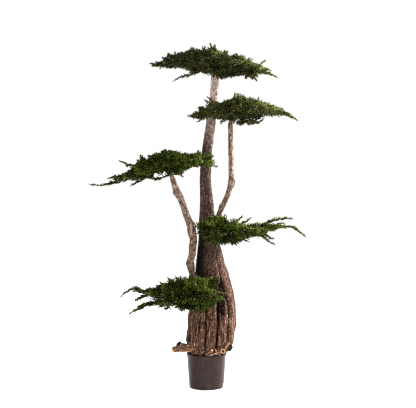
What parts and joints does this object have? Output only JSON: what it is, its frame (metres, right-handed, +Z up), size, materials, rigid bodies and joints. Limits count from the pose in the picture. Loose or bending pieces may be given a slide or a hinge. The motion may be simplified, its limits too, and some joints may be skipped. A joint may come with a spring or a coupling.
{
  "type": "juniper bonsai tree in a pot",
  "caption": "Tall juniper bonsai in a plain round pot: a fluted, flared trunk with slim boughs that carry flat, ragged pads of evergreen foliage, for decorating a room, terrace or patio.",
  "frame": {"origin": "centre of the pot's flat underside, on the surface the pot stands on", "axes": "+Z up along the trunk, +X to the right seen from the front, -Y towards the viewer"},
  "size_m": [1.1174, 0.5319, 1.8007],
  "materials": {
    "pot": "satin",
    "filling": "matte",
    "trunk_bark": "rough bark",
    "root_bark": "rough bark, sawn ends",
    "bough_bark": "rough bark",
    "foliage": "matte"
  },
  "bodies": {
    "root": {"pot": "pot", "filling": "filling", "trunk": "trunk_bark", "left_root": "root_bark", "right_root": "root_bark", "front_root_left": "root_bark", "front_root_right": "root_bark", "front_root_low": "root_bark", "left_bough": "bough_bark", "right_bough": "bough_bark", "top_pad": "foliage", "upper_right_pad": "foliage", "middle_left_pad": "foliage", "lower_right_pad": "foliage", "lower_left_pad": "foliage"}
  },
  "joints": []
}
